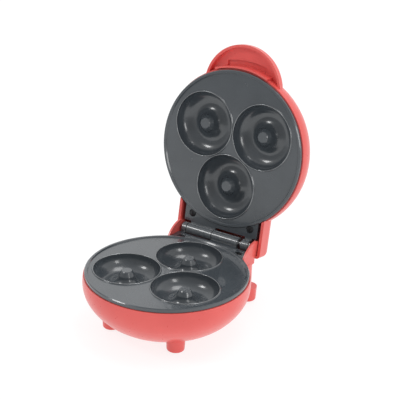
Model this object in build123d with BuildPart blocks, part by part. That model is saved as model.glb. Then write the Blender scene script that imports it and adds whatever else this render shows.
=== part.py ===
from build123d import *
import os
from math import cos, radians, sin

# Mini donut maker, a clamshell cooker that stands open on its table.
# Every piece is drawn in the appliance's own station: X to the right, Y to the
# back, Z up, with zero at the middle of the plates where the two rims meet.
# The lid is drawn shut and is then swung open about the hinge axis.
# Sizes are millimetres.

# Overall places
rim_height = 46.5  # table to the plane where the plates meet
plate_y = -31.5  # middle of the plates, in front of the frame's zero
hinge_stand = 10.0  # plate's edge to the hinge axis
open_angle = 99.7  # how far the lid leans back on its stop
closing_gap = 0.6  # left between the two plates when shut

# Cast plates
plate_radius = 64.0
plate_wall = 2.6
surface_drop = 1.0  # cooking surface below the raised rim
rim_land = 1.6  # flat top of the raised rim
rim_slope = 0.8
edge_round = 0.6
edge_depth = 3.0  # outer band that rests on the housing
skirt_inset = 3.2  # plate's edge to the skirt below it
skirt_wall = 2.2
skirt_depth = 9.0
well_count = 3
well_ring = 31.2  # middle of the plate to the middle of a well
well_radius = 26.2
well_depth = 11.5
well_wall = 2.2
well_floor_inset = 10.7  # lip to where the trough is deepest
bead_width = 1.0
bead_height = 0.6
post_top_radius = 4.0
post_base_radius = 6.6
post_base_rise = 7.0  # the post's straight side starts this far above the floor
post_recess = 0.8  # post top below the cooking surface
post_chamfer = 0.6

# Hinge, cast on both plates
knuckle_radius = 5.0
pin_radius = 2.0
pin_clearance = 0.06
knuckle_split = -4.2  # where the two long knuckles meet
knuckle_gap = 0.5
upper_knuckle_end = -28.3
lower_knuckle_end = 20.7
upper_ear = (24.0, 30.4)
lower_ear = (-32.8, -28.9)
tongue_half_width = 34.6
tongue_bury = 14.0  # how far the tongue runs in under the plate's edge
tongue_thickness = 3.6
tongue_drop = 1.4
tongue_clearance = 1.5  # tongue's end to the other plate's knuckle
pin_head_radius = 3.4
pin_head_thickness = 0.9
pin_clip_thickness = 0.6
pin_tip = 0.4

# Screws
screw_x = 27.5
screw_inset = 13.5  # hinge axis to the tongue screws
screw_radius = 1.6
small_screw_radius = 1.2
small_head_radius = 2.0
screw_clearance = 0.12
screw_head_radius = 2.9
screw_head_height = 1.4
head_clearance = 0.3
screw_length = 12.0
lid_screw_length = 9.0
centre_screw_length = 19.0
stack_screw_length = 9.0
small_screw_length = 2.6
boss_wall = 2.4
slot_width = 0.8
screw_point_round = 0.6

# Housings
housing_wall = 2.4
seat_gap = 0.3  # plate band to housing rim
rim_stand = 0.9  # housing rim outside the plate's edge
bulge = 0.6  # widest place outside the rim
shoulder_inset = 3.3
heel_inset = 20.3
base_depth = 39.6  # plates to the bottom of the bowl
lid_depth = 36.5
cheek_clearance = 0.6  # tongue's side to the cheek
ear_thickness = 1.6
neck_lip = 0.2  # neck's side outside the cheek
neck_overhang = 6.0  # hinge axis to the neck's rear
neck_corner = 16.0
neck_bottom_round = 3.0
neck_rise = 1.0  # neck's bottom above the bowl's
deck_drop = 9.7  # hinge trough floor below the plates
deck_thickness = 2.0
ear_rise = 7.4
ear_rear_radius = 5.8
ear_reach = 24.0
lid_neck_clearance = 0.9  # base neck's side to the lid neck's inside
lid_neck_gap = 0.1  # base neck's rear to the lid neck's inside
lid_neck_height = 20.0
lid_neck_round = 10.5
lid_neck_corner = 3.0

# Feet
foot_x = 30.0
foot_inset = 33.0  # plate's edge to the front feet's line
rear_foot_inset = 5.4  # neck's side to the middle of a rear foot
rear_foot_gap = 2.0  # hinge axis to the rear feet's line
foot_radius = 6.9
foot_taper = 3.0  # degrees
foot_round = 1.8
foot_height = 12.0
foot_pad_radius = 4.4
foot_pad_thickness = 2.0
foot_pad_stand = 0.8  # pad below the peg
pad_clearance = 0.1
pad_chamfer = 0.3

# Hooded handle on the lid
visor_radius = 34.8
visor_reach = 20.5  # plate's edge to the hood's front
visor_wall = 2.2
visor_top = 14.0
visor_bottom = 6.0
visor_round = 4.0
visor_recess = 4.6
slot_inset = 1.6  # widest place of the dome to the slot
slot_depth = 6.2
lip_wall = 1.5  # raised lip in front of the plate's edge
lip_low = 1.2
lip_half_width = 24.0
slot_breadth = 4.2
slot_half_width = 18.0

# Heating parts
heater_radius = 3.2
heater_opening = 50.0  # degrees left open at the back
heater_bend = 6.0
heater_lead = 8.0
terminal_radius = 1.3
terminal_length = 9.0
boss_radius = 5.0
stud_radius = 3.4
stud_stand = 2.1  # stud's end beyond the heat shield
spider_thickness = 1.2
spider_arm = 7.0
spider_overhang = 3.8  # clamp's arm past the heater's middle
spacer_thickness = 1.4
spacer_radius = 6.0
washer_thickness = 1.0
shield_thickness = 0.6
shield_gap = 0.1
shield_inset = 9.8  # skirt to the heat shield's edge
shield_lip = 5.0
shield_hole_radius = 3.0
shield_hole_ring = 21.0
tower_radius = 7.0
thermostat_radius = 8.0
thermostat_height = 9.0
thermostat_inset = 14.8  # skirt to the middle of the thermostat
thermostat_ear = 10.8
thermostat_plate = 0.8
thermostat_boss = 1.4
thermostat_step = 0.6
tab_size = (0.8, 4.0)
tab_length = 3.0
tab_spread = 4.0
fuse_radius = 2.4
fuse_lead_radius = 0.6
fuse_lead = 3.0
fuse_length = 14.0
fuse_inset = 7.4  # heat shield's edge to the middle of the fuse
fuse_angle = 200.0
strap_thickness = 0.5
strap_width = 5.0
strap_foot = 3.0
block_size = (26.0, 12.0, 10.0)
block_x = 8.0
block_inset = 12.0  # hinge axis to the middle of the block
block_ways = 3
block_top_hole = 2.0
block_side_hole = 1.8

# Cord gland
gland_x = -11.0
gland_drop = 24.0
gland_bore = 3.6
gland_wall = 1.8
gland_flange = 2.6
gland_inner_flange = 1.56
gland_flange_thickness = 1.6
gland_bevel = 0.6
gland_clearance = 0.1

# Lamps on the lid
lens_x = 9.0
lens_y = -33.0
lens_sink = 1.3  # lens seat below the top of the lid
lens_head_radius = 4.2
lens_head_height = 1.1
lens_radius = 3.0
lens_length = 6.2
lamp_radius = 2.0
lamp_length = 8.0
lamp_clearance = 0.1
lamp_end_wall = 0.7

# Vents
vent_slots = 8
vent_slot_width = 2.6
vent_slot_length = 14.0
vent_slot_ring = 27.0

# Worked out once
hinge_reach = plate_radius + hinge_stand
skirt_radius = plate_radius - skirt_inset
well_floor_radius = well_radius - well_floor_inset
rim_radius = plate_radius + rim_stand
bulge_radius = rim_radius + bulge
tongue_start = plate_radius - tongue_bury
screw_y = hinge_reach - screw_inset
ear_inner = tongue_half_width + cheek_clearance
neck_half_width = ear_inner + ear_thickness + neck_lip
neck_end = hinge_reach + neck_overhang
lid_neck_half_width = neck_half_width + lid_neck_clearance + housing_wall
lid_neck_end = neck_end + lid_neck_gap + housing_wall
foot_y = foot_inset - plate_radius
rear_foot_x = neck_half_width - rear_foot_inset
rear_foot_y = hinge_reach - rear_foot_gap
visor_centre_y = visor_radius - plate_radius - visor_reach
slot_inner_radius = bulge_radius + slot_inset
slot_outer_radius = slot_inner_radius + slot_breadth
spider_reach = well_ring + spider_overhang
shield_radius = skirt_radius - shield_inset
thermostat_y = thermostat_inset - skirt_radius
fuse_ring = shield_radius - fuse_inset
block_y = hinge_reach - block_inset
lens_seat_z = lens_sink - lid_depth
surface_z = -surface_drop
well_floor_z = surface_z - well_depth
under_well_z = well_floor_z - well_wall
heater_z = under_well_z - heater_radius
shoulder_z = heater_z - heater_radius
spider_low_z = shoulder_z - spider_thickness
spacer_low_z = spider_low_z - spacer_thickness
shield_low_z = spacer_low_z - shield_thickness
tower_top_z = shield_low_z - shield_gap
stud_end_z = shield_low_z - stud_stand
housing_rim_z = -(edge_depth + seat_gap)
tongue_top_z = -tongue_drop
tongue_low_z = tongue_top_z - tongue_thickness
tongue_end = hinge_reach - knuckle_radius - tongue_clearance
screw_boss_top_z = tongue_low_z - seat_gap
floor_z = -rim_height

hinge_rise = closing_gap / 2
hinge_line = Axis((0, hinge_reach, hinge_rise), (1, 0, 0))

foot_places = (
    (-foot_x, foot_y),
    (foot_x, foot_y),
    (-rear_foot_x, rear_foot_y),
    (rear_foot_x, rear_foot_y),
)


# Puts a finished piece of the base where it stands and writes it.
def keep_base(piece, name):
    piece = piece.moved(Location((0, plate_y, rim_height)))
    piece.label = name
    export_step(piece, f"parts/{name}.step")


# Lifts a lid piece to the closing gap, swings it open and writes it.
def keep_lid(piece, name):
    piece = piece.rotate(hinge_line, -open_angle)
    keep_base(piece, name)


# Turns a piece drawn for the base upside down, as the lid's twin of it.
def flipped(piece):
    return piece.rotate(Axis.Y, 180).moved(Location((0, 0, closing_gap)))


# Air inside one donut well, with the middle post left standing.
def well_air():
    post_top_z = surface_z - post_recess
    with BuildPart() as air:
        with BuildSketch(Plane.XZ):
            with BuildLine():
                foot = (post_base_radius, well_floor_z + post_base_rise)
                deepest = (well_floor_radius, well_floor_z)
                Polyline(
                    foot,
                    (post_top_radius + post_chamfer, post_top_z - post_chamfer),
                    (post_top_radius, post_top_z),
                    (0, post_top_z),
                    (0, surface_drop + 1),
                    (well_radius, surface_drop + 1),
                    (well_radius, surface_z),
                )
                TangentArc(deepest, foot, tangent=(-1, 0))
                TangentArc(deepest, (well_radius, surface_z), tangent=(1, 0))
            make_face()
        revolve(axis=Axis.Z)
    return air.part


# Metal under and round one well, before its air is taken out.
def well_metal():
    outer = well_radius + well_wall
    with BuildPart() as metal:
        with BuildSketch(Plane.XZ):
            with BuildLine():
                deepest = (well_floor_radius, under_well_z)
                Polyline(
                    deepest,
                    (0, under_well_z),
                    (0, surface_z + bead_height),
                    (well_radius + bead_width / 2, surface_z + bead_height),
                    (well_radius + bead_width, surface_z),
                    (outer, surface_z - well_wall),
                )
                TangentArc(deepest, (outer, surface_z - well_wall), tangent=(1, 0))
            make_face()
        revolve(axis=Axis.Z)
    return metal.part


# One cast plate, cooking side up: disc, skirt, wells, tongue, knuckle and ear.
def cast_plate(knuckle, ear):
    air = well_air()
    metal = well_metal()
    inner_rim = plate_radius - edge_round - rim_land
    with BuildPart() as plate:
        with BuildSketch(Plane.XZ):
            with BuildLine():
                Polyline(
                    (0, surface_z),
                    (inner_rim - rim_slope, surface_z),
                    (inner_rim, 0),
                    (plate_radius - edge_round, 0),
                    (plate_radius, -edge_round),
                    (plate_radius, -edge_depth),
                    (skirt_radius, -edge_depth),
                    (skirt_radius, -skirt_depth),
                    (skirt_radius - skirt_wall, -skirt_depth),
                    (skirt_radius - skirt_wall, surface_z - plate_wall),
                    (0, surface_z - plate_wall),
                    close=True,
                )
            make_face()
        revolve(axis=Axis.Z)
        # Tongue that carries the hinge
        with BuildSketch(Plane.XY.offset(tongue_low_z)):
            with Locations((0, tongue_start)):
                Rectangle(
                    2 * tongue_half_width,
                    tongue_end - tongue_start,
                    align=(Align.CENTER, Align.MIN),
                )
        extrude(amount=tongue_thickness)
        for low, high in (knuckle, ear):
            with BuildSketch(Plane.YZ.offset(low)):
                with Locations((hinge_reach, hinge_rise)):
                    Circle(knuckle_radius)
                with Locations((tongue_end - 1, tongue_low_z)):
                    Rectangle(
                        hinge_reach - tongue_end + 1,
                        tongue_thickness,
                        align=(Align.MIN, Align.MIN),
                    )
            extrude(amount=high - low)
        with PolarLocations(well_ring, well_count, start_angle=90):
            add(metal)
        # Middle boss with its stud
        with Locations((0, 0, surface_z - plate_wall / 2)):
            Cylinder(
                boss_radius,
                surface_z - plate_wall / 2 - shoulder_z,
                align=(Align.CENTER, Align.CENTER, Align.MAX),
            )
        with Locations((0, 0, shoulder_z)):
            Cylinder(
                stud_radius,
                shoulder_z - stud_end_z,
                align=(Align.CENTER, Align.CENTER, Align.MAX),
            )
        # Bosses for the thermostat, in the space between two wells
        with Locations(
            (-thermostat_ear, thermostat_y, surface_z - plate_wall),
            (thermostat_ear, thermostat_y, surface_z - plate_wall),
        ):
            Cylinder(
                screw_radius + boss_wall / 2,
                thermostat_boss,
                align=(Align.CENTER, Align.CENTER, Align.MAX),
            )
        with PolarLocations(well_ring, well_count, start_angle=90):
            add(air, mode=Mode.SUBTRACT)
        # Pin bore, tongue screw holes, stud thread and thermostat threads
        with BuildSketch(Plane.YZ.offset(-tongue_half_width - 1)):
            with Locations((hinge_reach, hinge_rise)):
                Circle(pin_radius + pin_clearance)
        extrude(amount=2 * tongue_half_width + 2, mode=Mode.SUBTRACT)
        with Locations(
            (-screw_x, screw_y, tongue_top_z), (screw_x, screw_y, tongue_top_z)
        ):
            CounterBoreHole(
                screw_radius + screw_clearance,
                screw_head_radius + head_clearance,
                screw_head_height + head_clearance,
                depth=tongue_thickness,
            )
        with BuildSketch(Plane.XY.offset(stud_end_z)):
            Circle(screw_radius + screw_clearance)
        extrude(amount=screw_length, mode=Mode.SUBTRACT)
        with BuildSketch(Plane.XY.offset(surface_z - plate_wall - thermostat_boss)):
            with Locations((-thermostat_ear, thermostat_y), (thermostat_ear, thermostat_y)):
                Circle(small_screw_radius + screw_clearance)
        extrude(amount=thermostat_boss + plate_wall / 2, mode=Mode.SUBTRACT)
    return plate.part


# Bowl-shaped solid of revolution that opens at top_z; inset is taken off all round.
def bowl(depth, top_z, inset):
    with BuildPart() as shape:
        with BuildSketch(Plane.XZ):
            with BuildLine():
                shoulder = (bulge_radius - shoulder_inset - inset, -depth * 0.545 + inset * 0.3)
                heel = (bulge_radius - heel_inset - inset * 0.6, -depth * 0.965 + inset)
                upper = ThreePointArc(
                    (rim_radius - inset, top_z),
                    (bulge_radius - inset, -depth * 0.23),
                    shoulder,
                )
                lower = TangentArc(shoulder, heel, tangent=upper % 1)
                Polyline(lower @ 1, (0, -depth + inset), (0, top_z), upper @ 0)
            make_face()
        revolve(axis=Axis.Z)
    return shape.part


# Rounded block of the base's rear neck; inset is taken off the sides, end and bottom.
def base_neck(inset, top_z):
    with BuildPart() as neck:
        with BuildSketch(Plane.XY.offset(top_z)):
            with Locations((0, hinge_reach / 2)):
                Rectangle(
                    2 * (neck_half_width - inset),
                    neck_end - hinge_reach / 2 - inset,
                    align=(Align.CENTER, Align.MIN),
                )
            corners = vertices().group_by(Axis.Y)[-1]
            fillet(corners, neck_corner - inset)
        extrude(amount=-(top_z + base_depth - neck_rise - inset))
        rear = faces().filter_by(Axis.Z).sort_by(Axis.Z)[0].edges()
        rear = rear.filter_by(lambda edge: edge.center().Y > hinge_reach / 2 + 1)
        fillet(rear, neck_bottom_round - inset)
    return neck.part


# Side profile of the cheek that covers the hinge's end.
def ear_profile():
    with BuildSketch(Plane.YZ) as profile:
        with BuildLine():
            top = (hinge_reach - 1, ear_rise)
            behind = (
                hinge_reach + ear_rear_radius * cos(radians(58)),
                hinge_rise + ear_rear_radius * sin(radians(58)),
            )
            below = (
                hinge_reach + ear_rear_radius * cos(radians(-112)),
                hinge_rise + ear_rear_radius * sin(radians(-112)),
            )
            Polyline(
                below,
                (hinge_reach - 2.6, -deck_drop - deck_thickness),
                (hinge_reach - ear_reach, -deck_drop - deck_thickness),
                (hinge_reach - ear_reach, housing_rim_z),
                (hinge_reach - ear_reach + 4, housing_rim_z),
            )
            ThreePointArc(
                (hinge_reach - ear_reach + 4, housing_rim_z),
                (hinge_reach - 11, ear_rise - 2.4),
                top,
            )
            Line(top, behind)
            ThreePointArc(
                behind, (hinge_reach + ear_rear_radius, hinge_rise), below
            )
        make_face()
    return profile.sketch


# Lower housing: bowl, neck, cheeks, foot pegs, screw bosses and front grip.
def base_housing():
    outer_bowl = bowl(base_depth, housing_rim_z, 0)
    inner_bowl = bowl(base_depth, housing_rim_z + 1, housing_wall)
    outer_neck = base_neck(0, -deck_drop)
    inner_neck = base_neck(housing_wall, -deck_drop - deck_thickness)
    cheek = ear_profile()
    with BuildPart() as housing:
        add(outer_bowl)
        add(outer_neck)
        add(inner_neck, mode=Mode.SUBTRACT)
        add(inner_bowl, mode=Mode.SUBTRACT)
        for side in (-1, 1):
            start = side * (ear_inner + ear_thickness / 2)
            extrude(cheek.moved(Location((start, 0, 0))), amount=ear_thickness / 2, both=True)
        # Trough for the hinge, between the cheeks
        with BuildSketch(Plane.XY.offset(-deck_drop)):
            with Locations((0, tongue_start - 6)):
                Rectangle(
                    2 * ear_inner,
                    neck_end,
                    align=(Align.CENTER, Align.MIN),
                )
        extrude(amount=2 * deck_drop, mode=Mode.SUBTRACT)
        # Room for the plate's band inside the cheeks
        with BuildSketch(Plane.XY.offset(housing_rim_z)):
            Circle(plate_radius + seat_gap)
        extrude(amount=ear_rise + 6, mode=Mode.SUBTRACT)
        # Foot pegs
        for x, y in foot_places:
            with BuildSketch(Plane.XY.offset(floor_z + foot_pad_stand)):
                with Locations((x, y)):
                    Circle(foot_radius)
            extrude(amount=foot_height, taper=-foot_taper)
        fillet(
            faces().filter_by(Axis.Z).group_by(Axis.Z)[0].edges(), foot_round
        )
        add(inner_neck, mode=Mode.SUBTRACT)
        add(inner_bowl, mode=Mode.SUBTRACT)
        for x, y in foot_places:
            with BuildSketch(Plane.XY.offset(floor_z + foot_pad_stand)):
                with Locations((x, y)):
                    Circle(foot_pad_radius + pad_clearance)
            extrude(amount=foot_pad_thickness - foot_pad_stand, mode=Mode.SUBTRACT)
        # Bosses for the tongue screws, from the neck's bottom to the tongue
        for side in (-1, 1):
            with BuildSketch(Plane.XY.offset(screw_boss_top_z)):
                with Locations((side * screw_x, screw_y)):
                    Circle(screw_radius + boss_wall)
            extrude(amount=-(screw_length + 4))
            with BuildSketch(Plane.XY.offset(screw_boss_top_z)):
                with Locations((side * screw_x, screw_y)):
                    Circle(screw_radius + screw_clearance)
            extrude(amount=-(screw_length + 1), mode=Mode.SUBTRACT)
        # Tower for the middle screw
        with BuildSketch(Plane.XY.offset(tower_top_z)):
            Circle(tower_radius)
        extrude(amount=-(base_depth + tower_top_z - housing_wall / 2))
        with BuildSketch(Plane.XY.offset(tower_top_z)):
            Circle(stud_radius + head_clearance)
        extrude(amount=-(tower_top_z - stud_end_z + 0.4), mode=Mode.SUBTRACT)
        with BuildSketch(Plane.XY.offset(-base_depth)):
            Circle(screw_head_radius + head_clearance)
        extrude(amount=screw_head_height + 3, mode=Mode.SUBTRACT)
        with BuildSketch(Plane.XY.offset(-base_depth)):
            Circle(screw_radius + screw_clearance)
        extrude(amount=base_depth + tower_top_z, mode=Mode.SUBTRACT)
        # Slots that let heat out through the bottom
        with BuildSketch(Plane.XY.offset(-base_depth - 1)):
            with PolarLocations(vent_slot_ring, vent_slots, start_angle=22.5):
                SlotOverall(vent_slot_length, vent_slot_width, rotation=90)
        extrude(amount=housing_wall + 3, mode=Mode.SUBTRACT)
        # Cord hole
        with BuildSketch(Plane.XZ.offset(-neck_end - 1)):
            with Locations((gland_x, -gland_drop)):
                Circle(gland_bore + gland_wall + gland_clearance)
        extrude(amount=housing_wall + 3, mode=Mode.SUBTRACT)
    return housing.part


# Upper housing: dome, neck and hooded handle, drawn upside down as a bowl.
def lid_housing():
    outer_dome = bowl(lid_depth, housing_rim_z, 0)
    inner_dome = bowl(lid_depth, housing_rim_z + 1, housing_wall)
    with BuildPart() as neck:
        with BuildSketch():
            with Locations((0, hinge_reach / 2)):
                Rectangle(
                    2 * lid_neck_half_width,
                    lid_neck_end - hinge_reach / 2,
                    align=(Align.CENTER, Align.MIN),
                )
        extrude(amount=-lid_neck_height)
        upright = edges().filter_by(Axis.Z).group_by(Axis.Y)[-1]
        fillet(upright, lid_neck_corner)
        low = faces().filter_by(Axis.Z).sort_by(Axis.Z)[0].edges()
        low = low.filter_by(lambda edge: edge.center().Y > hinge_reach / 2 + 1)
        fillet(low, lid_neck_round)
    with BuildPart() as neck_room:
        with BuildSketch(Plane.XY.offset(1)):
            with Locations((0, hinge_reach / 2)):
                Rectangle(
                    2 * (lid_neck_half_width - housing_wall),
                    lid_neck_end - hinge_reach / 2 - housing_wall,
                    align=(Align.CENTER, Align.MIN),
                )
        extrude(amount=-lid_neck_height - 1 + housing_wall)
        low = faces().filter_by(Axis.Z).sort_by(Axis.Z)[0].edges()
        low = low.filter_by(lambda edge: edge.center().Y > hinge_reach / 2 + 1)
        fillet(low, lid_neck_round - housing_wall)
    with BuildPart() as housing:
        add(outer_dome)
        add(neck.part)
        # Hooded handle
        with BuildSketch(Plane.XY.offset(-visor_bottom)):
            with Locations((0, visor_centre_y)):
                Circle(visor_radius)
        extrude(amount=-(visor_top - visor_bottom))
        hood = faces().filter_by(Axis.Z).filter_by(
            lambda face: abs(face.center().Z + visor_top) < 0.01
        )
        fillet(
            hood.edges().filter_by(lambda edge: edge.center().Y < visor_centre_y),
            visor_round,
        )
        with BuildSketch(Plane.XY.offset(-visor_bottom)):
            with Locations((0, visor_centre_y)):
                Circle(visor_radius - visor_wall)
            Circle(bulge_radius, mode=Mode.SUBTRACT)
        extrude(amount=-visor_recess, mode=Mode.SUBTRACT)
        with BuildSketch(Plane.XY.offset(-visor_bottom)):
            Circle(slot_outer_radius)
            Circle(slot_inner_radius, mode=Mode.SUBTRACT)
            with Locations((0, -slot_inner_radius)):
                Rectangle(2 * slot_half_width, 16, mode=Mode.INTERSECT)
        extrude(amount=-slot_depth, mode=Mode.SUBTRACT)
        # Lip that stands up in front of the plate's edge
        with BuildSketch(Plane.XY.offset(-lip_low)):
            Circle(slot_inner_radius)
            Circle(slot_inner_radius - lip_wall, mode=Mode.SUBTRACT)
            with Locations((0, -slot_inner_radius)):
                Rectangle(2 * lip_half_width, 24, mode=Mode.INTERSECT)
        extrude(amount=-(visor_top - lip_low - visor_wall))
        add(neck_room.part, mode=Mode.SUBTRACT)
        add(inner_dome, mode=Mode.SUBTRACT)
        # Room for the plate's band
        with BuildSketch(Plane.XY.offset(1)):
            Circle(plate_radius + seat_gap)
        extrude(amount=housing_rim_z - 1, mode=Mode.SUBTRACT)
        # Bosses for the tongue screws
        for side in (-1, 1):
            with BuildSketch(Plane.XY.offset(screw_boss_top_z)):
                with Locations((side * screw_x, screw_y)):
                    Circle(screw_radius + boss_wall)
            extrude(amount=-(lid_neck_height + screw_boss_top_z - housing_wall / 2))
            with BuildSketch(Plane.XY.offset(screw_boss_top_z)):
                with Locations((side * screw_x, screw_y)):
                    Circle(screw_radius + screw_clearance)
            extrude(amount=-(screw_length - 2), mode=Mode.SUBTRACT)
        # Holes for the two lamps
        with BuildSketch(Plane.XY.offset(-lid_depth - 1)):
            with Locations((-lens_x, lens_y), (lens_x, lens_y)):
                Circle(lens_radius + lamp_clearance)
        extrude(amount=8, mode=Mode.SUBTRACT)
        with BuildSketch(Plane.XY.offset(lens_seat_z)):
            with Locations((-lens_x, lens_y), (lens_x, lens_y)):
                Circle(lens_head_radius + lamp_clearance)
        extrude(amount=-3, mode=Mode.SUBTRACT)
    return housing.part


# Screw with its head upward; z is the underside of the head.
def screw(x, y, z, length, radius=screw_radius, head=screw_head_radius):
    with BuildPart() as piece:
        with Locations((x, y, z)):
            Cylinder(
                head,
                screw_head_height,
                align=(Align.CENTER, Align.CENTER, Align.MIN),
            )
            Cylinder(
                radius,
                length,
                align=(Align.CENTER, Align.CENTER, Align.MAX),
            )
        with Locations((x, y, z + screw_head_height)):
            Box(2 * head, slot_width, slot_width, mode=Mode.SUBTRACT)
            Box(slot_width, 2 * head, slot_width, mode=Mode.SUBTRACT)
        point = edges().filter_by(GeomType.CIRCLE).sort_by(Axis.Z)[:1]
        fillet(point, min(screw_point_round, radius * 0.5))
    return piece.part


# Two tongue screws as one group.
def tongue_screws(length):
    z = tongue_top_z - screw_head_height - head_clearance
    return Compound(children=[screw(side * screw_x, screw_y, z, length) for side in (-1, 1)])


# Tube heater: an open ring whose ends turn back into the neck.
def heater():
    half = heater_opening / 2
    end_x = well_ring * sin(radians(half))
    end_y = well_ring * cos(radians(half))
    across = cos(radians(half))
    along = sin(radians(half))
    with BuildPart() as tube:
        with BuildLine(Plane.XY.offset(heater_z)) as route:
            CenterArc((0, 0), well_ring, 90 + half, 360 - heater_opening)
            left = JernArc((-end_x, end_y), (across, along), heater_bend, 90 - half)
            right = JernArc((end_x, end_y), (-across, along), heater_bend, half - 90)
            Line(left @ 1, (left @ 1) + (0, heater_lead, 0))
            Line(right @ 1, (right @ 1) + (0, heater_lead, 0))
        start = left @ 1 + Vector(0, heater_lead, 0)
        with BuildSketch(Plane(origin=start, x_dir=(1, 0, 0), z_dir=(0, -1, 0))):
            Circle(heater_radius)
        sweep(path=route.wires()[0])
        for corner in (left @ 1, right @ 1):
            tip = Vector(corner.X, corner.Y + heater_lead + terminal_length, heater_z)
            with BuildSketch(Plane(origin=tip, x_dir=(1, 0, 0), z_dir=(0, -1, 0))):
                Circle(terminal_radius)
            extrude(amount=terminal_length + 1)
    return tube.part


# Three-armed clamp that holds the heater up against the wells.
def spider():
    with BuildPart() as clamp:
        with BuildSketch(Plane.XY.offset(spider_low_z)):
            Circle(stud_radius + spider_arm)
            with PolarLocations(0, 3, start_angle=30):
                with Locations((spider_reach / 2, 0)):
                    Rectangle(spider_reach, spider_arm)
            Circle(stud_radius + screw_clearance, mode=Mode.SUBTRACT)
        extrude(amount=spider_thickness)
    return clamp.part


# Flat ring between the clamp and the heat shield.
def spacer():
    with BuildPart() as ring:
        with BuildSketch(Plane.XY.offset(spacer_low_z)):
            Circle(spacer_radius)
            Circle(stud_radius + screw_clearance, mode=Mode.SUBTRACT)
        extrude(amount=spacer_thickness)
    return ring.part


# Shallow metal dish that keeps heat off the housing.
def heat_shield():
    half = radians(heater_opening / 2)
    lead_x = well_ring * sin(half) - heater_bend * (1 - sin(half))
    with BuildPart() as dish:
        with BuildSketch(Plane.XY.offset(shield_low_z)):
            Circle(shield_radius)
        extrude(amount=shield_thickness + shield_lip)
        with BuildSketch(Plane.XY.offset(shield_low_z + shield_thickness)):
            Circle(shield_radius - shield_thickness)
        extrude(amount=shield_lip, mode=Mode.SUBTRACT)
        with BuildSketch(Plane.XY.offset(shield_low_z)):
            Circle(stud_radius + screw_clearance)
            with PolarLocations(shield_hole_ring, 6, start_angle=15):
                Circle(shield_hole_radius)
        extrude(amount=shield_thickness, mode=Mode.SUBTRACT)
        # Notch for the heater's two leads
        with BuildSketch(Plane.XY.offset(shield_low_z + shield_thickness)):
            with Locations((0, shield_radius)):
                Rectangle(2 * (lead_x + heater_radius) + 6, 2 * shield_thickness + 8)
        extrude(amount=shield_lip, mode=Mode.SUBTRACT)
    return dish.part


# Cup washer under the lid's stack screw.
def stack_washer():
    low = stud_end_z - washer_thickness
    with BuildPart() as cup:
        with BuildSketch(Plane.XY.offset(low)):
            Circle(spacer_radius)
        extrude(amount=shield_low_z - low)
        with BuildSketch(Plane.XY.offset(stud_end_z)):
            Circle(stud_radius + screw_clearance)
        extrude(amount=shield_low_z - stud_end_z, mode=Mode.SUBTRACT)
        with BuildSketch(Plane.XY.offset(low)):
            Circle(screw_radius + screw_clearance)
        extrude(amount=washer_thickness, mode=Mode.SUBTRACT)
    return cup.part


# Disc thermostat with its flange and two tabs.
def thermostat():
    top = surface_z - plate_wall - thermostat_boss
    with BuildPart() as body:
        with BuildSketch(Plane.XY.offset(top - thermostat_plate)):
            with Locations((0, thermostat_y)):
                Circle(thermostat_radius)
                SlotOverall(2 * (thermostat_ear + small_head_radius + 0.6), 2 * small_head_radius + 1.2)
            with Locations((-thermostat_ear, thermostat_y), (thermostat_ear, thermostat_y)):
                Circle(small_screw_radius + screw_clearance, mode=Mode.SUBTRACT)
        extrude(amount=thermostat_plate)
        with BuildSketch(Plane.XY.offset(top - thermostat_height)):
            with Locations((0, thermostat_y)):
                Circle(thermostat_radius - thermostat_step)
        extrude(amount=thermostat_height - thermostat_plate / 2)
        with BuildSketch(Plane.XY.offset(top - thermostat_height - tab_length)):
            with Locations((-tab_spread, thermostat_y), (tab_spread, thermostat_y)):
                Rectangle(*tab_size)
        extrude(amount=tab_length + 1)
    return body.part


# Two small screws for the thermostat, heads downward.
def thermostat_screws():
    low = surface_z - plate_wall - thermostat_boss - thermostat_plate
    pair = []
    for side in (-1, 1):
        piece = screw(0, 0, 0, small_screw_length, small_screw_radius, small_head_radius)
        piece = piece.rotate(Axis.X, 180)
        pair.append(piece.moved(Location((side * thermostat_ear, thermostat_y, low))))
    return Compound(children=pair)


fuse_spot = Location(
    (
        fuse_ring * cos(radians(fuse_angle)),
        fuse_ring * sin(radians(fuse_angle)),
        shield_low_z + shield_thickness,
    ),
    (0, 0, fuse_angle),
)


# Thermal fuse in its sleeve, lying in the heat shield.
def thermal_fuse():
    with BuildPart() as fuse:
        with BuildSketch(Plane.XZ.offset(-fuse_length / 2)):
            with Locations((0, fuse_radius)):
                Circle(fuse_radius)
        extrude(amount=fuse_length)
        with BuildSketch(Plane.XZ.offset(-fuse_length / 2 - fuse_lead)):
            with Locations((0, fuse_radius)):
                Circle(fuse_lead_radius)
        extrude(amount=fuse_length + 2 * fuse_lead)
    return fuse.part.moved(fuse_spot)


# Bent strap that holds the fuse down.
def fuse_strap():
    outer = fuse_radius + strap_thickness
    with BuildPart() as strap:
        with BuildSketch(Plane.XZ.offset(-strap_width / 2)):
            with Locations((0, fuse_radius)):
                Circle(outer)
            with Locations((0, 0)):
                Rectangle(2 * outer, fuse_radius, align=(Align.CENTER, Align.MIN))
                Rectangle(
                    2 * (outer + strap_foot),
                    strap_thickness,
                    align=(Align.CENTER, Align.MIN),
                )
            with Locations((0, fuse_radius)):
                Circle(fuse_radius, mode=Mode.SUBTRACT)
            with Locations((0, -1)):
                Rectangle(
                    2 * fuse_radius,
                    fuse_radius + 1,
                    align=(Align.CENTER, Align.MIN),
                    mode=Mode.SUBTRACT,
                )
                Rectangle(
                    2 * (outer + strap_foot),
                    1,
                    align=(Align.CENTER, Align.MIN),
                    mode=Mode.SUBTRACT,
                )
        extrude(amount=strap_width)
    return strap.part.moved(fuse_spot)


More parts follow.
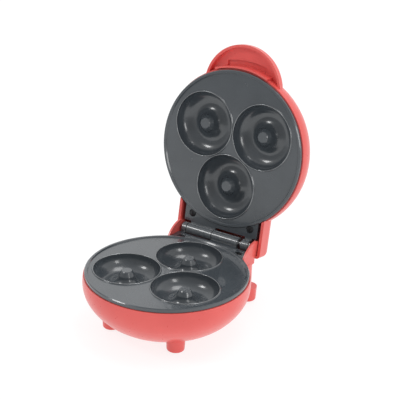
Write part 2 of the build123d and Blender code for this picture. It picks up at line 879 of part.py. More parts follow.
# Wiring block on the neck's floor.
def terminal_block():
    width, depth, height = block_size
    low = -(base_depth - neck_rise - housing_wall)
    pitch = width / block_ways
    with BuildPart() as block:
        with Locations((block_x, block_y, low)):
            Box(width, depth, height, align=(Align.CENTER, Align.CENTER, Align.MIN))
        fillet(edges().filter_by(Axis.Z), 1.0)
        with BuildSketch(Plane.XY.offset(low + height)):
            with Locations((block_x, block_y)):
                with GridLocations(pitch, 1, block_ways, 1):
                    Circle(block_top_hole)
        extrude(amount=-3.0, mode=Mode.SUBTRACT)
        with BuildSketch(Plane.XZ.offset(-block_y - depth / 2)):
            with Locations((block_x, low + height / 2 - 1)):
                with GridLocations(pitch, 1, block_ways, 1):
                    Circle(block_side_hole)
        extrude(amount=4.0, mode=Mode.SUBTRACT)
    return block.part


# Soft pads pushed into the four pegs, as one group.
def foot_pads():
    pads = []
    for x, y in foot_places:
        with BuildPart() as pad:
            with Locations((x, y, floor_z)):
                Cylinder(
                    foot_pad_radius,
                    foot_pad_thickness,
                    align=(Align.CENTER, Align.CENTER, Align.MIN),
                )
            chamfer(edges().filter_by(GeomType.CIRCLE).sort_by(Axis.Z)[:1], pad_chamfer)
        pads.append(pad.part)
    return Compound(children=pads)


# Grommet in the neck's rear wall, where a cord would leave.
def cord_gland():
    outer = gland_bore + gland_wall
    inside = neck_end - housing_wall
    with BuildPart() as gland:
        with BuildSketch(Plane.XY):
            with BuildLine():
                Polyline(
                    (gland_bore, inside - gland_flange_thickness),
                    (outer + gland_inner_flange, inside - gland_flange_thickness),
                    (outer + gland_inner_flange, inside),
                    (outer, inside),
                    (outer, neck_end),
                    (outer + gland_flange, neck_end),
                    (outer + gland_flange - gland_bevel, neck_end + gland_flange_thickness),
                    (gland_bore, neck_end + gland_flange_thickness),
                    close=True,
                )
            make_face()
        revolve(axis=Axis.Y)
    return gland.part.moved(Location((gland_x, 0, -gland_drop)))


# Lens that stands a little proud of the lid; x is its place across the lid.
def lens(x):
    with BuildPart() as piece:
        with Locations((x, lens_y, lens_seat_z)):
            Cylinder(
                lens_head_radius,
                lens_head_height,
                align=(Align.CENTER, Align.CENTER, Align.MAX),
            )
        fillet(edges().filter_by(GeomType.CIRCLE).sort_by(Axis.Z)[:1], 0.6)
        with Locations((x, lens_y, lens_seat_z)):
            Cylinder(
                lens_radius,
                lens_length,
                align=(Align.CENTER, Align.CENTER, Align.MIN),
            )
        with BuildSketch(Plane.XY.offset(lens_seat_z + lamp_end_wall)):
            with Locations((x, lens_y)):
                Circle(lamp_radius + lamp_clearance)
        extrude(amount=lens_length, mode=Mode.SUBTRACT)
    return piece.part


# The two small lamps behind the lenses, as one group.
def lamps():
    pair = []
    for x in (-lens_x, lens_x):
        with BuildPart() as piece:
            with Locations((x, lens_y, lens_seat_z + lamp_end_wall)):
                Cylinder(
                    lamp_radius,
                    lamp_length,
                    align=(Align.CENTER, Align.CENTER, Align.MIN),
                )
            fillet(edges().filter_by(GeomType.CIRCLE).sort_by(Axis.Z)[:1], 0.8)
        pair.append(piece.part)
    return Compound(children=pair)


# Hinge pin with its head on the right.
def hinge_pin():
    with BuildPart() as pin:
        with BuildSketch(Plane.YZ.offset(lower_ear[0] - pin_clip_thickness - pin_tip)):
            with Locations((hinge_reach, hinge_rise)):
                Circle(pin_radius)
        extrude(amount=upper_ear[1] - lower_ear[0] + pin_clip_thickness + pin_tip)
        with BuildSketch(Plane.YZ.offset(upper_ear[1])):
            with Locations((hinge_reach, hinge_rise)):
                Circle(pin_head_radius)
        extrude(amount=pin_head_thickness)
        fillet(edges().filter_by(GeomType.CIRCLE).sort_by(Axis.X)[-1:], 0.4)
    return pin.part


# Ring pushed on the pin's left end.
def pin_clip():
    with BuildPart() as clip:
        with BuildSketch(Plane.YZ.offset(lower_ear[0] - pin_clip_thickness)):
            with Locations((hinge_reach, hinge_rise)):
                Circle(pin_head_radius)
                Circle(pin_radius, mode=Mode.SUBTRACT)
        extrude(amount=pin_clip_thickness)
    return clip.part


print("base housing")
os.makedirs("parts", exist_ok=True)
keep_base(base_housing(), "base_housing")

print("plates")
lower_plate = cast_plate((knuckle_split + knuckle_gap / 2, lower_knuckle_end), lower_ear)
keep_base(lower_plate, "lower_plate")
upper_plate = cast_plate(
    (-knuckle_split + knuckle_gap / 2, -upper_knuckle_end),
    (-upper_ear[1], -upper_ear[0]),
)
keep_lid(flipped(upper_plate), "upper_plate")

print("lid housing")
keep_lid(flipped(lid_housing()), "lid_housing")

print("inside pieces")
keep_base(heater(), "lower_heater")
keep_lid(flipped(heater()), "upper_heater")
keep_base(spider(), "lower_heater_clamp")
keep_lid(flipped(spider()), "upper_heater_clamp")
keep_base(spacer(), "lower_shield_spacer")
keep_lid(flipped(spacer()), "upper_shield_spacer")
keep_base(heat_shield(), "lower_heat_shield")
keep_lid(flipped(heat_shield()), "upper_heat_shield")
keep_lid(flipped(stack_washer()), "stack_washer")
stack_screw = screw(0, 0, 0, stack_screw_length).rotate(Axis.X, 180)
stack_screw = stack_screw.moved(Location((0, 0, stud_end_z - washer_thickness)))
keep_lid(flipped(stack_screw), "stack_screw")
centre_screw = screw(0, 0, 0, centre_screw_length).rotate(Axis.X, 180)
centre_screw = centre_screw.moved(Location((0, 0, -base_depth + screw_head_height + 3)))
keep_base(centre_screw, "centre_screw")
keep_base(thermostat(), "thermostat")
keep_base(thermostat_screws(), "thermostat_screws")
keep_base(thermal_fuse(), "thermal_fuse")
keep_base(fuse_strap(), "fuse_strap")
keep_base(terminal_block(), "terminal_block")

print("hinge and small pieces")
keep_base(foot_pads(), "foot_pads")
keep_base(cord_gland(), "cord_gland")
keep_base(hinge_pin(), "hinge_pin")
keep_base(pin_clip(), "pin_clip")
keep_base(tongue_screws(screw_length), "lower_plate_screws")
keep_lid(flipped(tongue_screws(lid_screw_length)), "upper_plate_screws")
keep_lid(flipped(lens(-lens_x)), "ready_lens")
keep_lid(flipped(lens(lens_x)), "power_lens")
keep_lid(flipped(lamps()), "lamps")
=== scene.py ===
import math

import bpy
from mathutils import Matrix, Vector


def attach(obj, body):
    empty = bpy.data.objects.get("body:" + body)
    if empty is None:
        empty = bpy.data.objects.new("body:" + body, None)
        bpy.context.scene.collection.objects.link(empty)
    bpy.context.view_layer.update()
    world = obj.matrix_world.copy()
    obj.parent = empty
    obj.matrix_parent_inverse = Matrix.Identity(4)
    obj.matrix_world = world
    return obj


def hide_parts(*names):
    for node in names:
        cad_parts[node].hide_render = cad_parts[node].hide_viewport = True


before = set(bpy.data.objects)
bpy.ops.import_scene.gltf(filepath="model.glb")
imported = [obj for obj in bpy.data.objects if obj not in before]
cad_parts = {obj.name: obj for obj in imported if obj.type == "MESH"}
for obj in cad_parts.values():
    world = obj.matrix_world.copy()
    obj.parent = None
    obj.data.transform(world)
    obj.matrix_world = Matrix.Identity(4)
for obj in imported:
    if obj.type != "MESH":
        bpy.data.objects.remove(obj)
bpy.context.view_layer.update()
print("frame loaded")

# Where things stand, in metres, in the same frame as the solids
layout = {
    "plateY": -0.0315,
    "rimZ": 0.0465,
    "hingeReach": 0.074,
    "hingeRise": 0.0003,
    "closingGap": 0.0006,
    "openAngle": math.radians(99.7),
    "wellRing": 0.0312,
}


def basePlace():
    return Matrix.Translation((0, layout["plateY"], layout["rimZ"]))


def lidPlace():
    # drawn for the lower plate, turned over, lifted by the gap and swung open
    pivot = Vector((0, layout["hingeReach"], layout["hingeRise"]))
    turnOver = Matrix.Rotation(math.pi, 4, "Y")
    lift = Matrix.Translation((0, 0, layout["closingGap"]))
    swing = Matrix.Rotation(-layout["openAngle"], 4, "X")
    return (
        basePlace()
        @ Matrix.Translation(pivot) @ swing @ Matrix.Translation(-pivot)
        @ lift @ turnOver
    )


places = {"base": basePlace(), "lid": lidPlace()}


# Materials: short helpers, then one function for each finish


def startMaterial(name):
    material = bpy.data.materials.new(name)
    material.use_nodes = True
    tree = material.node_tree
    bsdf = tree.nodes["Principled BSDF"]
    coords = tree.nodes.new("ShaderNodeTexCoord")
    return material, tree, bsdf, coords.outputs["Object"]


def addNoise(tree, vector, scale, detail=2.0, rough=0.5):
    node = tree.nodes.new("ShaderNodeTexNoise")
    node.inputs["Scale"].default_value = scale
    node.inputs["Detail"].default_value = detail
    node.inputs["Roughness"].default_value = rough
    tree.links.new(vector, node.inputs["Vector"])
    return node.outputs["Fac"]


def addStretch(tree, vector, stretch):
    node = tree.nodes.new("ShaderNodeMapping")
    node.inputs["Scale"].default_value = stretch
    tree.links.new(vector, node.inputs["Vector"])
    return node.outputs["Vector"]


def addRamp(tree, factor, low, high, fromPos=0.3, toPos=0.7):
    ramp = tree.nodes.new("ShaderNodeValToRGB")
    ramp.color_ramp.elements[0].position = fromPos
    ramp.color_ramp.elements[1].position = toPos
    ramp.color_ramp.elements[0].color = (*low, 1)
    ramp.color_ramp.elements[1].color = (*high, 1)
    tree.links.new(factor, ramp.inputs["Fac"])
    return ramp.outputs["Color"]


def addRange(tree, factor, low, high):
    node = tree.nodes.new("ShaderNodeMapRange")
    node.inputs["From Min"].default_value = 0.3
    node.inputs["From Max"].default_value = 0.7
    node.inputs["To Min"].default_value = low
    node.inputs["To Max"].default_value = high
    tree.links.new(factor, node.inputs["Value"])
    return node.outputs["Result"]


def addMix(tree, factor, first, second):
    node = tree.nodes.new("ShaderNodeMix")
    node.data_type = "RGBA"
    tree.links.new(factor, node.inputs["Factor"])
    tree.links.new(first, node.inputs["A"])
    tree.links.new(second, node.inputs["B"])
    return node.outputs["Result"]


def addBump(tree, bsdf, height, strength, distance, below=None):
    node = tree.nodes.new("ShaderNodeBump")
    node.inputs["Strength"].default_value = strength
    node.inputs["Distance"].default_value = distance
    tree.links.new(height, node.inputs["Height"])
    if below is not None:
        tree.links.new(below, node.inputs["Normal"])
    tree.links.new(node.outputs["Normal"], bsdf.inputs["Normal"])
    return node.outputs["Normal"]


def wearMask(tree, coords, scale, fromPos, toPos):
    # bright on worn edges, broken up by noise
    geometry = tree.nodes.new("ShaderNodeNewGeometry")
    edge = tree.nodes.new("ShaderNodeMapRange")
    edge.inputs["From Min"].default_value = fromPos
    edge.inputs["From Max"].default_value = toPos
    tree.links.new(geometry.outputs["Pointiness"], edge.inputs["Value"])
    times = tree.nodes.new("ShaderNodeMath")
    times.operation = "MULTIPLY"
    tree.links.new(edge.outputs["Result"], times.inputs[0])
    tree.links.new(addRange(tree, addNoise(tree, coords, scale, 4.0), 0.0, 1.0), times.inputs[1])
    return times.outputs["Value"]


coralPlastic = {
    "deep": (0.760, 0.092, 0.082),
    "bright": (0.830, 0.114, 0.100),
    "worn": (0.880, 0.210, 0.180),
    "cloudScale": 26.0,
    "sparkScale": 1500.0,
    "roughness": (0.27, 0.36),
    "coat": 0.25,
}


def makeCoralPlastic():
    s = coralPlastic
    material, tree, bsdf, coords = startMaterial("coralPlastic")
    cloud = addNoise(tree, coords, s["cloudScale"], 3.0)
    tone = addRamp(tree, cloud, s["deep"], s["bright"])
    worn = addRamp(tree, cloud, s["worn"], s["worn"])
    mask = wearMask(tree, coords, 300.0, 0.56, 0.66)
    tree.links.new(addMix(tree, mask, tone, worn), bsdf.inputs["Base Color"])
    fine = addNoise(tree, coords, 420.0, 4.0)
    tree.links.new(addRange(tree, fine, *s["roughness"]), bsdf.inputs["Roughness"])
    spark = addNoise(tree, coords, s["sparkScale"], 2.0)
    sink = addNoise(tree, coords, 60.0, 1.0)
    under = addBump(tree, bsdf, sink, 0.12, 0.0006)
    addBump(tree, bsdf, spark, 0.04, 0.00005, under)
    bsdf.inputs["Coat Weight"].default_value = s["coat"]
    bsdf.inputs["Coat Roughness"].default_value = 0.18
    return material


nonStick = {
    "dark": (0.044, 0.053, 0.062),
    "light": (0.060, 0.071, 0.082),
    "speck": (0.080, 0.092, 0.102),
    "worn": (0.140, 0.150, 0.158),
    "peelScale": 700.0,
    "roughness": (0.21, 0.28),
}


def makeNonStick():
    s = nonStick
    material, tree, bsdf, coords = startMaterial("nonStickCoating")
    cloud = addNoise(tree, coords, 34.0, 4.0)
    tone = addRamp(tree, cloud, s["dark"], s["light"])
    speck = addRamp(tree, addNoise(tree, coords, 3200.0, 1.0), (0, 0, 0), (1, 1, 1), 0.66, 0.74)
    flecked = addMix(tree, speck, tone, addRamp(tree, cloud, s["speck"], s["speck"]))
    mask = wearMask(tree, coords, 500.0, 0.56, 0.68)
    tree.links.new(
        addMix(tree, mask, flecked, addRamp(tree, cloud, s["worn"], s["worn"])),
        bsdf.inputs["Base Color"],
    )
    smear = addNoise(tree, addStretch(tree, coords, (1.0, 2.6, 1.0)), 70.0, 5.0, 0.6)
    tree.links.new(addRange(tree, smear, *s["roughness"]), bsdf.inputs["Roughness"])
    peel = addNoise(tree, coords, s["peelScale"], 2.0)
    addBump(tree, bsdf, peel, 0.06, 0.00006)
    bsdf.inputs["Specular IOR Level"].default_value = 0.70
    bsdf.inputs["Coat Weight"].default_value = 0.48
    bsdf.inputs["Coat Roughness"].default_value = 0.05
    return material


def makeMetal(name, dark, light, roughness, grain=(1.0, 1.0, 18.0), metallic=1.0):
    material, tree, bsdf, coords = startMaterial(name)
    lines = addNoise(tree, addStretch(tree, coords, grain), 900.0, 4.0, 0.7)
    blotch = addNoise(tree, coords, 160.0, 5.0)
    tree.links.new(
        addMix(tree, blotch, addRamp(tree, lines, dark, light), addRamp(tree, blotch, dark, light)),
        bsdf.inputs["Base Color"],
    )
    tree.links.new(addRange(tree, blotch, *roughness), bsdf.inputs["Roughness"])
    addBump(tree, bsdf, lines, 0.12, 0.00004)
    bsdf.inputs["Metallic"].default_value = metallic
    return material


def makeRubber():
    material, tree, bsdf, coords = startMaterial("footRubber")
    dust = addNoise(tree, coords, 380.0, 5.0, 0.7)
    tree.links.new(
        addRamp(tree, dust, (0.018, 0.018, 0.019), (0.060, 0.058, 0.056)),
        bsdf.inputs["Base Color"],
    )
    tree.links.new(addRange(tree, dust, 0.72, 0.92), bsdf.inputs["Roughness"])
    addBump(tree, bsdf, addNoise(tree, coords, 2100.0, 3.0), 0.25, 0.00008)
    return material


def makeMoulded(name, dark, light, roughness):
    material, tree, bsdf, coords = startMaterial(name)
    cloud = addNoise(tree, coords, 210.0, 4.0)
    tree.links.new(addRamp(tree, cloud, dark, light), bsdf.inputs["Base Color"])
    tree.links.new(addRange(tree, cloud, *roughness), bsdf.inputs["Roughness"])
    addBump(tree, bsdf, addNoise(tree, coords, 1800.0, 2.0), 0.15, 0.00005)
    return material


def makeLens(name, dark, light):
    material, tree, bsdf, coords = startMaterial(name)
    cloud = addNoise(tree, coords, 420.0, 3.0)
    tree.links.new(addRamp(tree, cloud, dark, light), bsdf.inputs["Base Color"])
    tree.links.new(addRange(tree, cloud, 0.06, 0.14), bsdf.inputs["Roughness"])
    addBump(tree, bsdf, addNoise(tree, coords, 1400.0, 1.0), 0.08, 0.00006)
    bsdf.inputs["Subsurface Weight"].default_value = 0.25
    bsdf.inputs["Subsurface Radius"].default_value = (0.002, 0.001, 0.001)
    bsdf.inputs["Coat Weight"].default_value = 0.6
    return material


def makeSleeve():
    material, tree, bsdf, coords = startMaterial("wovenSleeve")
    wave = tree.nodes.new("ShaderNodeTexWave")
    wave.inputs["Scale"].default_value = 900.0
    wave.inputs["Distortion"].default_value = 1.5
    tree.links.new(coords, wave.inputs["Vector"])
    tree.links.new(
        addRamp(tree, wave.outputs["Fac"], (0.62, 0.58, 0.48), (0.85, 0.82, 0.74)),
        bsdf.inputs["Base Color"],
    )
    dull = addRange(tree, addNoise(tree, coords, 300.0), 0.75, 0.9)
    tree.links.new(dull, bsdf.inputs["Roughness"])
    addBump(tree, bsdf, wave.outputs["Fac"], 0.4, 0.0002)
    return material


finishes = {
    "coral": makeCoralPlastic(),
    "nonStick": makeNonStick(),
    "steel": makeMetal("platedSteel", (0.46, 0.46, 0.47), (0.66, 0.66, 0.67), (0.22, 0.42)),
    "bright": makeMetal(
        "brightPin", (0.62, 0.62, 0.63), (0.86, 0.86, 0.87), (0.12, 0.25), (18, 1, 1)
    ),
    # the bead rings get a light metallic grey, far lighter than the coating: a painted highlight
    # line along each well bead crest
    "beadHighlightLine": makeMetal(
        "beadPaintedHighlight", (0.20, 0.21, 0.22), (0.34, 0.35, 0.36), (0.12, 0.2), (4, 4, 4), 0.6
    ),
    # screw heads coloured near black: painted shade of the sunk screw recesses, not the screws' own
    # colour
    "screwPaintedShade": makeMetal(
        "screwPaintedShade", (0.020, 0.020, 0.022), (0.060, 0.060, 0.064), (0.25, 0.45), (1, 1, 18), 0.7
    ),
    "heater": makeMetal(
        "scaledTube", (0.16, 0.15, 0.14), (0.34, 0.32, 0.30), (0.45, 0.7), (1, 1, 1)
    ),
    "aluminium": makeMetal(
        "rolledAluminium", (0.60, 0.61, 0.62), (0.80, 0.81, 0.82), (0.3, 0.5), (1, 18, 1)
    ),
    "rubber": makeRubber(),
    "phenolic": makeMoulded("phenolic", (0.030, 0.028, 0.026), (0.065, 0.060, 0.056), (0.35, 0.55)),
    "ceramicBlock": makeMoulded("creamBlock", (0.62, 0.60, 0.53), (0.74, 0.72, 0.66), (0.45, 0.65)),
    "greenLens": makeLens("greenLens", (0.05, 0.32, 0.09), (0.09, 0.46, 0.14)),
    "redLens": makeLens("redLens", (0.20, 0.008, 0.008), (0.34, 0.02, 0.016)),
    "lamp": makeLens("lampGlass", (0.55, 0.50, 0.42), (0.75, 0.70, 0.62)),
    "sleeve": makeSleeve(),
}
print("materials made")

nodeFinishes = {
    "coral": ("base_housing", "lid_housing"),
    "nonStick": ("lower_plate", "upper_plate"),
    "steel": (
        "lower_heater_clamp", "upper_heater_clamp", "lower_shield_spacer", "upper_shield_spacer",
        "stack_washer", "stack_screw", "centre_screw", "thermostat_screws", "fuse_strap",
    ),
    "bright": ("hinge_pin", "pin_clip"),
    # the plate screws take the painted shade finish
    "screwPaintedShade": ("lower_plate_screws", "upper_plate_screws"),
    "heater": ("lower_heater", "upper_heater"),
    "aluminium": ("lower_heat_shield", "upper_heat_shield"),
    "rubber": ("foot_pads", "cord_gland"),
    "phenolic": ("thermostat",),
    "ceramicBlock": ("terminal_block",),
    "greenLens": ("ready_lens",),
    "redLens": ("power_lens",),
    "lamp": ("lamps",),
    "sleeve": ("thermal_fuse",),
}
for finish, names in nodeFinishes.items():
    for name in names:
        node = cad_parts[name]
        node.data.materials.clear()
        node.data.materials.append(finishes[finish])
print("carried-over solids dressed")

# Repeated pieces, each grown by its own node tree from a cloud of points


def startTree(name, inputs):
    tree = bpy.data.node_groups.new(name, "GeometryNodeTree")
    tree.interface.new_socket("Geometry", in_out="INPUT", socket_type="NodeSocketGeometry")
    tree.interface.new_socket("Geometry", in_out="OUTPUT", socket_type="NodeSocketGeometry")
    for label in inputs:
        tree.interface.new_socket(label, in_out="INPUT", socket_type="NodeSocketFloat")
    return tree, tree.nodes.new("NodeGroupInput").outputs, tree.nodes.new("NodeGroupOutput")


def addNode(tree, kind, values=(), links=(), **settings):
    node = tree.nodes.new(kind)
    for label, value in settings.items():
        setattr(node, label, value)
    for label, value in dict(values).items():
        node.inputs[label].default_value = value
    for label, source in links:
        tree.links.new(source, node.inputs[label])
    return node


def addVector(tree, x, y, z):
    node = tree.nodes.new("ShaderNodeCombineXYZ")
    for label, source in (("X", x), ("Y", y), ("Z", z)):
        if isinstance(source, float):
            node.inputs[label].default_value = source
        else:
            tree.links.new(source, node.inputs[label])
    return node.outputs["Vector"]


def addMaths(tree, operation, first, second):
    node = addNode(tree, "ShaderNodeMath", operation=operation)
    for socket, source in zip(node.inputs, (first, second)):
        if isinstance(source, float):
            socket.default_value = source
        else:
            tree.links.new(source, socket)
    return node.outputs["Value"]


def addWire(tree, curve, radius, sides=10):
    # a round bar of the given radius along a curve
    section = addNode(
        tree, "GeometryNodeCurvePrimitiveCircle", {"Resolution": sides}, [("Radius", radius)]
    )
    bar = addNode(
        tree, "GeometryNodeCurveToMesh", {},
        [("Curve", curve), ("Profile Curve", section.outputs["Curve"])],
    )
    return bar.outputs["Mesh"]


def addRing(tree, ringRadius, wireRadius, steps=96, sides=10):
    ring = addNode(
        tree, "GeometryNodeCurvePrimitiveCircle", {"Resolution": steps}, [("Radius", ringRadius)]
    )
    return addWire(tree, ring.outputs["Curve"], wireRadius, sides)


def endTree(tree, points, shape, material, output, turn=None):
    # a copy on each point, made real and given its material
    copies = addNode(
        tree, "GeometryNodeInstanceOnPoints", {}, [("Points", points), ("Instance", shape)]
    )
    if turn is not None:
        tree.links.new(turn, copies.inputs["Rotation"])
    real = addNode(
        tree, "GeometryNodeRealizeInstances", {}, [("Geometry", copies.outputs["Instances"])]
    )
    dressed = addNode(
        tree, "GeometryNodeSetMaterial", {"Material": material},
        [("Geometry", real.outputs["Geometry"])],
    )
    tree.links.new(dressed.outputs["Geometry"], output.inputs["Geometry"])


def growPiece(name, body, tree, points, numbers, smooth=True):
    cloud = bpy.data.meshes.new(name + "Points")
    cloud.from_pydata(points, [], [])
    piece = bpy.data.objects.new(name, cloud)
    bpy.context.scene.collection.objects.link(piece)
    grow = piece.modifiers.new("grow", "NODES")
    grow.node_group = tree
    for item in tree.interface.items_tree:
        if item.in_out == "INPUT" and item.name in numbers:
            grow[item.identifier] = numbers[item.name]
    graph = bpy.context.evaluated_depsgraph_get()
    mesh = bpy.data.meshes.new_from_object(piece.evaluated_get(graph), depsgraph=graph)
    piece.modifiers.remove(grow)
    piece.data = mesh
    mesh.transform(places[body])
    if smooth:
        mesh.shade_smooth()
    mesh.update()
    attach(piece, body)
    print(name, len(mesh.polygons), "faces")
    return piece


wellBead = {
    "Ring radius": 0.02645,
    "Wire radius": 0.00032,
    "height": -0.00042,
    "count": 3,
    "firstAngle": math.radians(90),
}


def makeBeadTree():
    tree, given, output = startTree("wellBead", ("Ring radius", "Wire radius"))
    ring = addRing(tree, given["Ring radius"], given["Wire radius"])
    endTree(tree, given["Geometry"], ring, finishes["beadHighlightLine"], output)
    return tree


def wellCentres():
    s = wellBead
    angles = [s["firstAngle"] + math.tau * step / s["count"] for step in range(s["count"])]
    ring = layout["wellRing"]
    return [(ring * math.cos(angle), ring * math.sin(angle), s["height"]) for angle in angles]


# these rings carry the painted highlight colour, not a polished finish of their own
beadTree = makeBeadTree()
growPiece("lowerWellBeads", "base", beadTree, wellCentres(), wellBead)
growPiece("upperWellBeads", "lid", beadTree, wellCentres(), wellBead)


screwHead = {
    "Head radius": 0.0028,
    "Dome height": 0.0006,
    "Recess width": 0.0008,
    "Recess length": 0.0034,
    "cutShare": 1.3,
    "tonguePlaces": ((-0.0275, 0.0605, -0.0018), (0.0275, 0.0605, -0.0018)),
}


def makeScrewTree():
    s = screwHead
    tree, given, output = startTree(
        "crossHead", ("Head radius", "Dome height", "Recess width", "Recess length")
    )
    ball = addNode(tree, "GeometryNodeMeshUVSphere", {"Segments": 36, "Rings": 18, "Radius": 1.0})
    flattening = addVector(
        tree, given["Head radius"], given["Head radius"], given["Dome height"]
    )
    dome = addNode(
        tree, "GeometryNodeTransform", {},
        [("Geometry", ball.outputs["Mesh"]), ("Scale", flattening)],
    )
    depth = addMaths(tree, "MULTIPLY", given["Dome height"], s["cutShare"])
    alongX = addNode(
        tree, "GeometryNodeMeshCube", {},
        [("Size", addVector(tree, given["Recess length"], given["Recess width"], depth))],
    )
    alongY = addNode(
        tree, "GeometryNodeMeshCube", {},
        [("Size", addVector(tree, given["Recess width"], given["Recess length"], depth))],
    )
    lift = addVector(tree, 0.0, 0.0, given["Dome height"])
    cutters = []
    for cube in (alongX, alongY):
        moved = addNode(
            tree, "GeometryNodeTransform", {},
            [("Geometry", cube.outputs["Mesh"]), ("Translation", lift)],
        )
        cutters.append(moved.outputs["Geometry"])
    cut = addNode(tree, "GeometryNodeMeshBoolean", operation="DIFFERENCE")
    tree.links.new(dome.outputs["Geometry"], cut.inputs["Mesh 1"])
    for cutter in cutters:
        tree.links.new(cutter, cut.inputs["Mesh 2"])
    endTree(tree, given["Geometry"], cut.outputs["Mesh"], finishes["screwPaintedShade"], output)
    return tree


screwTree = makeScrewTree()
tonguePoints = screwHead["tonguePlaces"]
growPiece(
    "lowerScrewHeads", "base", screwTree, tonguePoints, screwHead, False
)
growPiece(
    "upperScrewHeads", "lid", screwTree, tonguePoints, screwHead, False
)


footRib = {
    "Pad radius": 0.0042,
    "Rib radius": 0.0005,
    "Disc height": 0.0015,
    "ribShares": (0.30, 0.58, 0.86),
    "floor": -0.0465,
    "places": ((-0.030, -0.031), (0.030, -0.031), (-0.0316, 0.072), (0.0316, 0.072)),
}


def makePadTree():
    tree, given, output = startTree("ribbedPad", ("Pad radius", "Rib radius", "Disc height"))
    disc = addNode(
        tree, "GeometryNodeMeshCylinder", {"Vertices": 48},
        [("Radius", given["Pad radius"]), ("Depth", given["Disc height"])],
    )
    half = addMaths(tree, "MULTIPLY", given["Disc height"], 0.5)
    rise = addVector(tree, 0.0, 0.0, addMaths(tree, "ADD", half, given["Rib radius"]))
    raised = addNode(
        tree, "GeometryNodeTransform", {},
        [("Geometry", disc.outputs["Mesh"]), ("Translation", rise)],
    )
    shapes = [raised.outputs["Geometry"]]
    for share in footRib["ribShares"]:
        radius = addMaths(tree, "MULTIPLY", given["Pad radius"], share)
        rib = addNode(
            tree, "GeometryNodeTransform", {},
            [
                ("Geometry", addRing(tree, radius, given["Rib radius"], 48, 12)),
                ("Translation", addVector(tree, 0.0, 0.0, given["Rib radius"])),
            ],
        )
        shapes.append(rib.outputs["Geometry"])
    joined = addNode(tree, "GeometryNodeJoinGeometry")
    for shape in shapes:
        tree.links.new(shape, joined.inputs["Geometry"])
    endTree(tree, given["Geometry"], joined.outputs["Geometry"], finishes["rubber"], output)
    return tree


padPoints = [(x, y, footRib["floor"]) for x, y in footRib["places"]]
pads = growPiece("ribbedFootPads", "base", makePadTree(), padPoints, footRib, False)
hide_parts("foot_pads")


ventFrame = {
    "Frame length": 0.0150,
    "Frame width": 0.0036,
    "Wire radius": 0.00045,
    "cornerShare": 0.499,
    "ring": 0.0270,
    "height": -0.0396,
    "count": 8,
    "firstAngle": math.radians(22.5),
}


def makeVentTree():
    s = ventFrame
    tree, given, output = startTree("ventFrame", ("Frame length", "Frame width", "Wire radius"))
    outline = addNode(
        tree, "GeometryNodeCurvePrimitiveQuadrilateral", {},
        [("Width", given["Frame width"]), ("Height", given["Frame length"])],
    )
    rounded = addNode(
        tree, "GeometryNodeFilletCurve", {"Count": 8},
        [
            ("Curve", outline.outputs["Curve"]),
            ("Radius", addMaths(tree, "MULTIPLY", given["Frame width"], s["cornerShare"])),
        ],
        mode="POLY",
    )
    frameBar = addWire(tree, rounded.outputs["Curve"], given["Wire radius"], 8)
    index = addNode(tree, "GeometryNodeInputIndex").outputs["Index"]
    step = addMaths(tree, "MULTIPLY", index, math.tau / s["count"])
    turn = addVector(tree, 0.0, 0.0, addMaths(tree, "ADD", step, s["firstAngle"]))
    endTree(tree, given["Geometry"], frameBar, finishes["coral"], output, turn)
    return tree


def ventPoints():
    s = ventFrame
    angles = [s["firstAngle"] + math.tau * step / s["count"] for step in range(s["count"])]
    return [(s["ring"] * math.cos(a), s["ring"] * math.sin(a), s["height"]) for a in angles]


growPiece("ventFrames", "base", makeVentTree(), ventPoints(), ventFrame)
print("repeated pieces grown")


# Floor, light and camera
studio = {
    "floorSize": 6.0,
    "floorTone": ((0.19, 0.20, 0.20), (0.21, 0.22, 0.22)),
    "floorGlow": 0.82,
    "worldStrength": (0.42, 1.0),
    "worldFade": (-0.7, 0.5),
    "lightTarget": (0, 0, 0.08),
    # name, place, size, energy
    "softboxes": (
        ("keyBox", (-0.9, -0.9, 1.3), (0.40, 0.40), 5.5),
        ("fillBox", (1.3, -0.5, 0.7), (0.30, 0.60), 3.0),
        ("topBox", (0.2, 0.3, 1.5), (0.9, 0.5), 5.0),
    ),
}


def makeFloor():
    s = studio
    mesh = bpy.data.meshes.new("floor")
    half = s["floorSize"] / 2
    corners = [(-half, -half, 0), (half, -half, 0), (half, half, 0), (-half, half, 0)]
    mesh.from_pydata(corners, [], [(0, 1, 2, 3)])
    floor = bpy.data.objects.new("floor", mesh)
    bpy.context.scene.collection.objects.link(floor)
    material, tree, bsdf, coords = startMaterial("paleFloor")
    tone = addRamp(tree, addNoise(tree, coords, 8.0), *s["floorTone"])
    tree.links.new(tone, bsdf.inputs["Base Color"])
    bsdf.inputs["Roughness"].default_value = 0.75
    bsdf.inputs["Emission Color"].default_value = (1.0, 1.0, 1.0, 1.0)
    bsdf.inputs["Emission Strength"].default_value = s["floorGlow"]
    mesh.materials.append(material)
    return floor


def aimAt(thing, target):
    direction = Vector(target) - thing.location
    thing.rotation_euler = direction.to_track_quat("-Z", "Y").to_euler()


def addSoftbox(name, place, target, size, energy):
    light = bpy.data.lights.new(name, "AREA")
    light.shape = "RECTANGLE"
    light.size, light.size_y = size
    light.energy = energy
    holder = bpy.data.objects.new(name, light)
    holder.location = place
    bpy.context.scene.collection.objects.link(holder)
    aimAt(holder, target)
    return holder


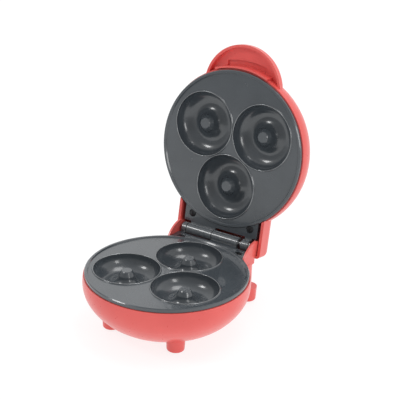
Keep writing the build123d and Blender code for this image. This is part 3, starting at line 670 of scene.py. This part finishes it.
def makeWorld():
    world = bpy.data.worlds.new("paleStudio")
    world.use_nodes = True
    tree = world.node_tree
    shade = tree.nodes["Background"]
    shade.inputs["Color"].default_value = (1.0, 1.0, 1.0, 1.0)
    # dimmer behind the viewer than behind the appliance
    coords = tree.nodes.new("ShaderNodeTexCoord")
    split = tree.nodes.new("ShaderNodeSeparateXYZ")
    fade = tree.nodes.new("ShaderNodeMapRange")
    fade.inputs["From Min"].default_value = studio["worldFade"][0]
    fade.inputs["From Max"].default_value = studio["worldFade"][1]
    fade.inputs["To Min"].default_value = studio["worldStrength"][0]
    fade.inputs["To Max"].default_value = studio["worldStrength"][1]
    tree.links.new(coords.outputs["Generated"], split.inputs["Vector"])
    tree.links.new(split.outputs["Y"], fade.inputs["Value"])
    tree.links.new(fade.outputs["Result"], shade.inputs["Strength"])
    bpy.context.scene.world = world


viewpoint = {
    "azimuth": math.radians(32.01),
    "elevation": math.radians(23.46),
    "roll": math.radians(2.003),
    "place": (0.4856, -0.7638, 0.48775),
    "lens": 114.1,
    "sensor": 36.0,
}


def makeCamera():
    v = viewpoint
    data = bpy.data.cameras.new("photoCamera")
    data.lens = v["lens"]
    data.sensor_width = v["sensor"]
    data.sensor_fit = "HORIZONTAL"
    camera = bpy.data.objects.new("photoCamera", data)
    bpy.context.scene.collection.objects.link(camera)
    back = Vector((
        math.sin(v["azimuth"]) * math.cos(v["elevation"]),
        -math.cos(v["azimuth"]) * math.cos(v["elevation"]),
        math.sin(v["elevation"]),
    ))
    right = Vector((math.cos(v["azimuth"]), math.sin(v["azimuth"]), 0))
    up = back.cross(right)
    rolledRight = right * math.cos(v["roll"]) + up * math.sin(v["roll"])
    rolledUp = up * math.cos(v["roll"]) - right * math.sin(v["roll"])
    turn = Matrix((rolledRight, rolledUp, back)).transposed().to_4x4()
    camera.matrix_world = Matrix.Translation(v["place"]) @ turn
    bpy.context.scene.camera = camera
    return camera


makeFloor()
makeWorld()
for name, place, size, energy in studio["softboxes"]:
    addSoftbox(name, place, studio["lightTarget"], size, energy)
makeCamera()
bpy.context.scene.view_settings.view_transform = "Standard"
print("stage and camera set")
